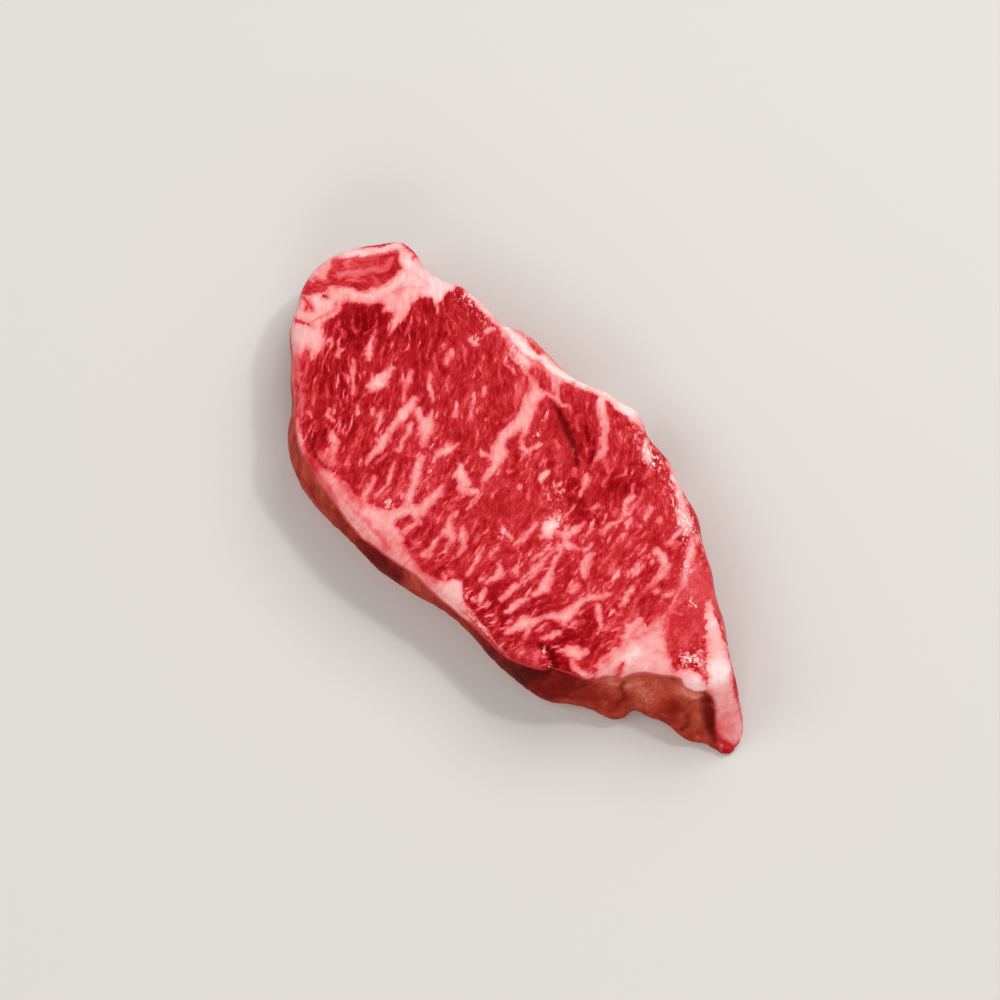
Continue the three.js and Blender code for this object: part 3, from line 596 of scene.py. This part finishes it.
def paintAnatomy(piece):
    points, normals = readMesh(piece.data)
    points = points / mm
    # the muscles run on a slant through the slab, and drift a little on the way down
    depth = steak["thickness"] - points[:, 2:3]
    upward = smoothStep(normals[:, 2:3], -0.4, 0.1)
    seen = points[:, :2] + depth * np.array(steak["slant"]) * (0.3 + 0.7 * upward)
    size, amount = steak["underDrift"]
    seen += noiseAt(points * (1, 1, 0.8), size)[:, :2] * depth / steak["thickness"] * amount * (1 - upward)
    size, amount = steak["drift"]
    seen += noiseAt(points + 50, size)[:, :2] * amount
    place = seen
    for size, amount in steak["fatWarp"]:
        place = place + noiseAt(points + 7.3 * size, size)[:, :2] * amount

    fat = strokeField(place, steak["seams"])
    for outline in steak["fatPatches"]:
        fat = np.maximum(fat, patchField(place, outline))
    for outline in steak["leanPatches"]:
        fat = np.minimum(fat, -patchField(place, outline))
    fat = np.minimum(fat, -strokeField(place, steak["leanStrokes"]))
    fat = np.maximum(fat, strokeField(place, steak["flecks"]) + steak["fleckGain"])
    faint = strokeField(place, steak["faintFlecks"])

    lean, perX, perY = steak["grain"]
    wander = points
    for size, amount in steak["grainWarp"]:
        wander = wander + noiseAt(points - 3.1 * size, size) * amount
    x, y = wander[:, 0], wander[:, 1]
    across = (x - lean * y - perY * y * y) / (1 + perX * y)
    turned = smoothStep(patchField(place, steak["leanPatches"][0]), -2, 0)
    across += turned * (x - steak["smallMuscleLean"] * y - across)
    grain = np.column_stack([across, y, wander[:, 2]])

    # 1 on the sides, less on the far ones, where the muscles still show through the skin
    steep = 1 - smoothStep(normals[:, 2], *steak["sideSlope"])
    steep = steep * (1 - smoothStep(points[:, 2], *steak["sideHeight"]))
    steep = np.where(normals[:, 2] < 0, 1 - smoothStep(-normals[:, 2], *steak["underSlope"]), steep)
    blotches = noiseAt(points * (1, 1, 0.7), steak["blotchSize"])[:, 0]
    far = smoothStep(normals @ np.array(steak["farSide"]) + 0.6 * blotches, *steak["farEdge"])
    steep = steep * (1 - far * (0.72 + 0.5 * blotches))
    onFace = upward[:, 0]
    beyond = smoothStep(-patchField(seen, steak["faceRim"]), -1.2, 1.2) * onFace
    side = np.clip(np.maximum(steep, beyond), 0, 1)
    # painted highlights: the moist glossy spots get pale dots painted into the colour besides their gloss and
    # pits, and the glint lines are painted pale
    wet = np.clip(spotField(place, steak["wetSpotsAndGlints"]), 0, 1) * onFace
    glint = np.where(onFace > 0.9, strokeField(seen, steak["paintedGlintLines"]), -6)
    # painted shade: the creases on the cut face and in the end wall, darkened in colour as well as sunk
    fold = 0.9 * smoothStep(strokeField(seen, steak["foldsWithShade"]), -0.9, 0.6)
    fold = np.maximum(fold, smoothStep(strokeField(place, steak["sideFoldsWithShade"]), -1.8, 1.0)) * onFace

    for name, values in {
            "fat": np.clip(fat, -6, 6), "faint": np.clip(faint, -6, 6), "side": side, "wet": wet,
            "glint": np.clip(glint, -6, 6), "fold": fold, "grain": grain,
            # the fat's tone below carries some painted highlights
            "fatTone": 0.3 + spotField(place, steak["fatTonesAndHighlights"]) + lineField(place, steak["fatLines"]),
            # the lean's tone below carries painted shade along creases and under the flap
            "leanTone": 0.5 + spotField(place, steak["leanTonesAndShade"]) + lineField(place, steak["leanLinesAndShade"]),
            # the sides' tone below carries painted light and shade
            "sideTone": 0.5 + spotField(seen, steak["sideTonesAndShade"]) * onFace + 0.35 * blotches * far,
            "ragged": np.clip(spotField(place, steak["ragged"]), 0, 1),
            "calm": np.clip(spotField(place, steak["calm"]), 0, 1),
            "crowd": np.clip(0.3 + spotField(place, steak["fineFlecks"]), 0, 1)}.items():
        writeAttribute(piece.data, name, values)


relief = {
    "Fat Height": 0.22,  # mm, how far fat stands over lean
    "Bundle Width": 1.7,  # mm, across a bundle of fibres
    "Bundle Depth": 0.22,
    "Lump Size": 7.0,
    "Lump Height": 0.35,
    "Pit Size": 1.5,
    "Pit Depth": 0.4,
    "Fold Depth": 0.3,
    "Side Ridge Width": 3.4,
    "Side Ridge Depth": 0.5,
    "Seed": 5.0,
}


def reliefTree(material):
    tree = bpy.data.node_groups.new("meatRelief", "GeometryNodeTree")
    tree.interface.new_socket("Geometry", in_out="INPUT", socket_type="NodeSocketGeometry")
    for name, value in relief.items():
        socket = tree.interface.new_socket(name, in_out="INPUT", socket_type="NodeSocketFloat")
        socket.default_value = value
    tree.interface.new_socket("Geometry", in_out="OUTPUT", socket_type="NodeSocketGeometry")
    given = addNode(tree, "NodeGroupInput").node.outputs
    grain = addNode(tree, "GeometryNodeInputNamedAttribute", {"Name": "grain"}, data_type="FLOAT_VECTOR")
    fat, side, wet, fold = [
        addNode(tree, "GeometryNodeInputNamedAttribute", {"Name": name}, data_type="FLOAT")
        for name in ("fat", "side", "wet", "fold")]

    def ripple(width, stretch, detail, shift, *strengths):
        # noise on the fibres' own axes, long along them by the stretch, times each strength
        along = addNode(tree, "ShaderNodeMath", [width, stretch], operation="MULTIPLY")
        spacing = addNode(tree, "ShaderNodeCombineXYZ", [width, along, along])
        place = addNode(tree, "ShaderNodeVectorMath", [grain, spacing], operation="DIVIDE")
        seed = addNode(tree, "ShaderNodeMath", [given["Seed"], shift], operation="ADD")
        wave = addNode(tree, "ShaderNodeTexNoise", {
            "Vector": place, "W": seed, "Scale": 1.0, "Detail": detail, "Roughness": 0.55},
            noise_dimensions="4D")
        wave = addNode(tree, "ShaderNodeMath", [wave, 2.0, -1.0], operation="MULTIPLY_ADD")
        for strength in strengths:
            wave = addNode(tree, "ShaderNodeMath", [wave, strength], operation="MULTIPLY")
        return wave

    onFat = addNode(tree, "ShaderNodeMapRange", {
        "Value": fat, "From Min": -0.6, "From Max": 0.9}, interpolation_type="SMOOTHSTEP")
    onLean = addNode(tree, "ShaderNodeMath", [1.0, onFat], operation="SUBTRACT")
    onFace = addNode(tree, "ShaderNodeMath", [1.0, side], operation="SUBTRACT")
    hollow = addNode(tree, "ShaderNodeMath", [given["Fold Depth"], -1.0], operation="MULTIPLY")
    height = weigh(
        tree, 0.0,
        (onFat, given["Fat Height"]),
        (ripple(given["Bundle Width"], 4.0, 2.0, 1.0, onLean, onFace), given["Bundle Depth"]),
        (ripple(given["Lump Size"], 1.0, 2.0, 2.0), given["Lump Height"]),
        (ripple(given["Pit Size"], 1.2, 1.0, 3.0, wet), given["Pit Depth"]),
        (ripple(given["Side Ridge Width"], 3.0, 2.0, 4.0, side), given["Side Ridge Depth"]),
        (fold, hollow))
    height = addNode(tree, "ShaderNodeMath", [height, mm], operation="MULTIPLY")

    normal = addNode(tree, "GeometryNodeInputNormal")
    offset = addNode(tree, "ShaderNodeVectorMath", {"Vector": normal, "Scale": height}, operation="SCALE")
    moved = addNode(tree, "GeometryNodeSetPosition", {"Geometry": given["Geometry"], "Offset": offset})
    real = addNode(tree, "GeometryNodeRealizeInstances", [moved])
    dressed = addNode(tree, "GeometryNodeSetMaterial", {"Geometry": real, "Material": material})
    addNode(tree, "NodeGroupOutput", [dressed])
    return tree


def raiseRelief(piece, material):
    tree = reliefTree(material)
    modifier = piece.modifiers.new("relief", "NODES")
    modifier.node_group = tree
    for item in tree.interface.items_tree:
        if item.name in relief:
            modifier[item.identifier] = relief[item.name]
    applyModifiers(piece)
    mesh = piece.data
    points, _ = readMesh(mesh)
    low, high = [np.array(corner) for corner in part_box("steak")]
    points = np.clip(points, low, high)  # the flat of the lower face stays on the floor
    mesh.vertices.foreach_set("co", points.astype(np.float32).ravel())
    mesh.polygons.foreach_set("use_smooth", np.ones(len(mesh.polygons), bool))
    mesh.update()


# Raw marbled beef, cut with a knife and moist with its own juice: a translucent, saturated red that
# turns through pink into pale fat, and a thin film that gives small sharp highlights; more highlights are
# painted into the colour as pale dots and lines.
beef = {
    "cutStops": [  # lean from 0 to 0.45, fat from there up
        (0.0, "7C040A"), (0.11, "970C13"), (0.225, "B21B23"), (0.34, "C82E35"), (0.45, "DB484D"),
        (0.59, "E96C70"), (0.725, "F29C99"), (0.86, "F7BCB8"), (1.0, "FCDFDC"),
    ],
    "leanTop": 0.45,
    "edgeColour": "C43A42",  # where the cut face turns into a side
    # painted shade: the sides run through deep brown reds, darker than their own colour, as walls in shadow
    "shadedSideStops": [(0.0, "460202"), (0.25, "760D08"), (0.5, "9C2C1E"), (0.75, "C1523F"), (1.0, "E08C7A")],
    # painted shade in the creases and the groove
    "foldShadeColour": "5A0204",
    "noises": {  # mm across the grain, how many times longer along it, detail
        "fibre": (0.5, 3.0, 2), "streak": (1.5, 2.2, 2), "bundle": (2.4, 2.4, 2.5), "blotch": (7, 1.4, 3),
        "crumb": (0.7, 1.2, 2), "mottle": (1.9, 1.3, 3), "thread": (3.2, 1.8, 2), "cloud": (3.0, 1.0, 3),
        "bead": (1.2, 1.2, 1),
    },
    "growth": 9,  # how sharply the small flecks stand out
    "growthStart": -0.185,
}


def beefMaterial():
    material = bpy.data.materials.new("rawMarbledBeef")
    material.use_nodes = True
    tree = material.node_tree
    tree.nodes.clear()
    grain = addNode(tree, "ShaderNodeAttribute", output="Vector", attribute_name="grain")
    fat, faint, fatTone, leanTone, sideTone, side, fold, wet, glint, ragged, crowd, calm = [
        addNode(tree, "ShaderNodeAttribute", output="Fac", attribute_name=name) for name in (
            "fat", "faint", "fatTone", "leanTone", "sideTone", "side", "fold", "wet", "glint", "ragged",
            "crowd", "calm")]
    waves = {}
    for name, (width, along, detail) in beef["noises"].items():
        place = addNode(tree, "ShaderNodeVectorMath", [
            grain, (1 / width, 1 / (width * along), 1 / (width * along))], operation="MULTIPLY")
        wave = addNode(tree, "ShaderNodeTexNoise", {
            "Vector": place, "Scale": 1.0, "Detail": detail, "Roughness": 0.5})
        waves[name] = addNode(tree, "ShaderNodeMath", [wave, 0.5], operation="SUBTRACT")
    fibre, streak, bundle, blotch, crumb, mottle, thread, cloud, bead = waves.values()

    # fat: the seams and flecks that were laid out, and smaller ones that grow along the fibres
    feather = addNode(tree, "ShaderNodeMath", [streak, ragged], operation="MULTIPLY")
    laid = weigh(tree, fat, (streak, 1.4), (crumb, 0.8), (feather, 5.0))
    grown = weigh(
        tree, beef["growthStart"], (bundle, 0.85), (streak, 0.4), (crumb, 0.08), (crowd, 0.1), (calm, -0.16))
    grown = addNode(tree, "ShaderNodeMath", [grown, beef["growth"]], operation="MULTIPLY")
    field = addNode(tree, "ShaderNodeMath", [laid, grown], operation="MAXIMUM")
    faint = weigh(tree, faint, (streak, 1.2), (crumb, 0.7))
    share = addNode(tree, "ShaderNodeMapRange", {
        "Value": field, "From Min": -0.75, "From Max": 0.65}, interpolation_type="SMOOTHSTEP")
    faintShare = addNode(tree, "ShaderNodeMapRange", {
        "Value": faint, "From Min": -0.7, "From Max": 0.7, "To Max": 0.62}, interpolation_type="SMOOTHSTEP")
    share = addNode(tree, "ShaderNodeMath", [share, faintShare], operation="MAXIMUM")
    # thin curly threads of fat between the flecks, in patches
    thread = addNode(tree, "ShaderNodeMath", [thread], operation="ABSOLUTE")
    thread = addNode(tree, "ShaderNodeMapRange", {
        "Value": thread, "From Min": 0.004, "From Max": 0.03, "To Min": 1.0, "To Max": 0.0},
        interpolation_type="SMOOTHSTEP")
    patch = addNode(tree, "ShaderNodeMapRange", {
        "Value": mottle, "From Min": -0.06, "From Max": 0.12, "To Max": 0.4}, interpolation_type="SMOOTHSTEP")
    thread = addNode(tree, "ShaderNodeMath", [thread, patch], operation="MULTIPLY")
    share = addNode(tree, "ShaderNodeMath", [share, thread], operation="MAXIMUM")
    core = addNode(tree, "ShaderNodeMapRange", {
        "Value": field, "From Min": 0.0, "From Max": 2.2}, interpolation_type="SMOOTHSTEP")
    near = addNode(tree, "ShaderNodeMapRange", {
        "Value": field, "From Min": -3.0, "From Max": -0.4}, interpolation_type="SMOOTHSTEP")

    # one scale from dark lean to white fat, so that what lies between stays a clear red pink
    meat = weigh(
        tree, 0.0, (fibre, 0.36), (crumb, 0.14), (streak, 0.18), (bundle, 0.22), (blotch, 0.26),
        (mottle, 0.34))
    lively = weigh(tree, 1.0, (calm, -0.5))
    leanPart = weigh(tree, 0.01, (leanTone, 0.45), (near, 0.06), (meat, lively))
    leanPart = addNode(tree, "ShaderNodeClamp", {"Value": leanPart, "Max": beef["leanTop"]})
    fatPart = weigh(
        tree, beef["leanTop"], (fatTone, 0.55), (core, 0.13), (blotch, 0.2), (cloud, 0.3), (streak, 0.05),
        (crumb, 0.12))
    paleness = addNode(tree, "ShaderNodeMix", [share, leanPart, fatPart])
    # painted highlights: pale dots in the glossy spots and pale glint lines push the colour towards white;
    # the same dots carry the coat
    paintedGlintSpecks = addNode(tree, "ShaderNodeMapRange", {
        "Value": weigh(tree, bead, (crumb, 0.8)), "From Min": 0.05, "From Max": 0.15},
        interpolation_type="SMOOTHSTEP")
    paintedGlintSpecks = addNode(tree, "ShaderNodeMath", [paintedGlintSpecks, wet], operation="MULTIPLY")
    paintedGlintLineShare = addNode(tree, "ShaderNodeMapRange", {
        "Value": weigh(tree, glint, (streak, 0.8), (crumb, 1.2)), "From Min": -0.3, "From Max": 0.25,
        "To Max": 0.85}, interpolation_type="SMOOTHSTEP")
    paintedGlintSpecks = addNode(tree, "ShaderNodeMath", [paintedGlintSpecks, paintedGlintLineShare], operation="MAXIMUM")
    paleness = addNode(tree, "ShaderNodeMix", [paintedGlintSpecks, paleness, 1.0])
    cutColour = addNode(tree, "ShaderNodeValToRGB", [paleness], stops=beef["cutStops"])

    # sides: a drier membrane over fat and lean, in deep brown reds that are partly painted shade
    sideShadeValue = weigh(
        tree, sideTone, (blotch, 0.7), (cloud, 0.3), (streak, 0.25), (crumb, 0.12), (share, 0.1))
    shadedSideColour = addNode(tree, "ShaderNodeValToRGB", [sideShadeValue], stops=beef["shadedSideStops"])
    onSide = addNode(tree, "ShaderNodeMapRange", {
        "Value": weigh(tree, side, (blotch, 0.25), (crumb, 0.12)), "From Min": 0.1, "From Max": 0.9},
        interpolation_type="SMOOTHSTEP")
    colour = addNode(tree, "ShaderNodeMix", [onSide, cutColour, shadedSideColour], data_type="RGBA")
    offSide = addNode(tree, "ShaderNodeMath", [1.0, onSide], operation="SUBTRACT")
    edge = addNode(tree, "ShaderNodeMath", [onSide, offSide], operation="MULTIPLY")
    edge = addNode(tree, "ShaderNodeMath", [edge, 2.8], operation="MULTIPLY")
    edgeColour = hexToLinear(beef["edgeColour"])
    colour = addNode(tree, "ShaderNodeMix", [edge, colour, edgeColour], data_type="RGBA")
    # painted shade: the creases and the groove are mixed towards a near-black red
    foldShadeShare = addNode(tree, "ShaderNodeMath", [fold, 0.82], operation="MULTIPLY")
    foldShadeColour = hexToLinear(beef["foldShadeColour"])
    colour = addNode(tree, "ShaderNodeMix", [foldShadeShare, colour, foldShadeColour], data_type="RGBA")

    wetCrumb = addNode(tree, "ShaderNodeMath", [crumb, wet], operation="MULTIPLY")
    bump = addNode(tree, "ShaderNodeBump", {
        "Strength": 0.5, "Distance": 0.25 * mm,
        "Height": weigh(tree, 0.0, (wetCrumb, 4.5), (fibre, 0.5), (crumb, 0.5))})
    drops = addNode(tree, "ShaderNodeMapRange", {
        "Value": crumb, "From Min": 0.12, "From Max": 0.24}, interpolation_type="SMOOTHSTEP")
    shader = addNode(tree, "ShaderNodeBsdfPrincipled", {
        "Base Color": colour, "Normal": bump,
        "Roughness": weigh(tree, 0.42, (share, 0.06), (crumb, 0.2), (onSide, 0.1), (wet, -0.15)),
        "IOR": 1.4, "Specular IOR Level": 0.06, "Specular Tint": (1.0, 0.4, 0.35, 1),
        "Subsurface Weight": 0.08, "Subsurface Radius": (1.0, 0.3, 0.2), "Subsurface Scale": 1.0 * mm,
        "Coat Weight": weigh(tree, 0.0, (paintedGlintSpecks, 1.0), (drops, 0.06)),
        "Coat Roughness": 0.08, "Coat IOR": 1.4,
    }, subsurface_method="RANDOM_WALK")
    addNode(tree, "ShaderNodeOutputMaterial", {"Surface": shader})
    return material


studio = {
    "target": (-5.2, -3.3, 13.0),  # mm
    "azimuth": 51, "elevation": 70,  # degrees, of the camera from the target
    "distance": 965, "lens": 100,
    "floorColour": "DAD6D1",
    "floorReach": 2,  # metres, each way
    "worldStrength": 0.4,
    "lights": [  # name, place in metres, size, watts
        ("keyPanel", (-0.35, 1.3, 1.35), 1.1, 16.9),
        ("sparkPanel", (0.15, 0.9, 1.3), 0.12, 4),
        ("fillPanel", (-0.9, -1.1, 1.2), 1.2, 8),
        ("endPanel", (1.3, -1.1, 0.9), 0.9, 10.5),
    ],
}


def makeStudio():
    floorMesh = bpy.data.meshes.new("floor")
    reach = studio["floorReach"]
    corners = [(-reach, -reach, 0), (reach, -reach, 0), (reach, reach, 0), (-reach, reach, 0)]
    floorMesh.from_pydata(corners, [], [(0, 1, 2, 3)])
    floor = bpy.data.objects.new("floor", floorMesh)
    bpy.context.scene.collection.objects.link(floor)
    paper = bpy.data.materials.new("mattePaper")  # plain pale sweep, no sheen
    paper.use_nodes = True
    shader = paper.node_tree.nodes["Principled BSDF"]
    shader.inputs["Base Color"].default_value = hexToLinear(studio["floorColour"])
    shader.inputs["Roughness"].default_value = 0.9
    floorMesh.materials.append(paper)

    world = bpy.data.worlds.new("softWorld")
    world.use_nodes = True
    world.node_tree.nodes["Background"].inputs["Color"].default_value = (1, 1, 1, 1)
    world.node_tree.nodes["Background"].inputs["Strength"].default_value = studio["worldStrength"]
    bpy.context.scene.world = world

    target = Vector(studio["target"]) * mm
    for name, place, size, watts in studio["lights"]:
        data = bpy.data.lights.new(name, "AREA")
        data.size = size
        data.energy = watts
        light = bpy.data.objects.new(name, data)
        light.location = place
        light.rotation_euler = (target - light.location).to_track_quat("-Z", "Y").to_euler()
        bpy.context.scene.collection.objects.link(light)

    azimuth, elevation = np.radians(studio["azimuth"]), np.radians(studio["elevation"])
    level = np.cos(elevation)
    back = Vector((np.sin(azimuth) * level, -np.cos(azimuth) * level, np.sin(elevation)))
    data = bpy.data.cameras.new("camera")
    data.lens = studio["lens"]
    data.sensor_width = 36
    data.clip_end = 10  # metres
    camera = bpy.data.objects.new("camera", data)
    camera.location = target + back * studio["distance"] * mm
    camera.rotation_euler = (-back).to_track_quat("-Z", "Y").to_euler()
    bpy.context.scene.collection.objects.link(camera)
    bpy.context.scene.camera = camera
    bpy.context.scene.view_settings.view_transform = "Standard"


piece = makeSkin(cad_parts["steak"])
print("skin", sum(len(face.vertices) - 2 for face in piece.data.polygons), "triangles")
noise.seed_set(steak["seed"])
paintAnatomy(piece)
print("anatomy painted")
raiseRelief(piece, beefMaterial())
print("relief raised")
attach(piece, "root")
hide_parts("steak")
makeStudio()
print("studio ready")
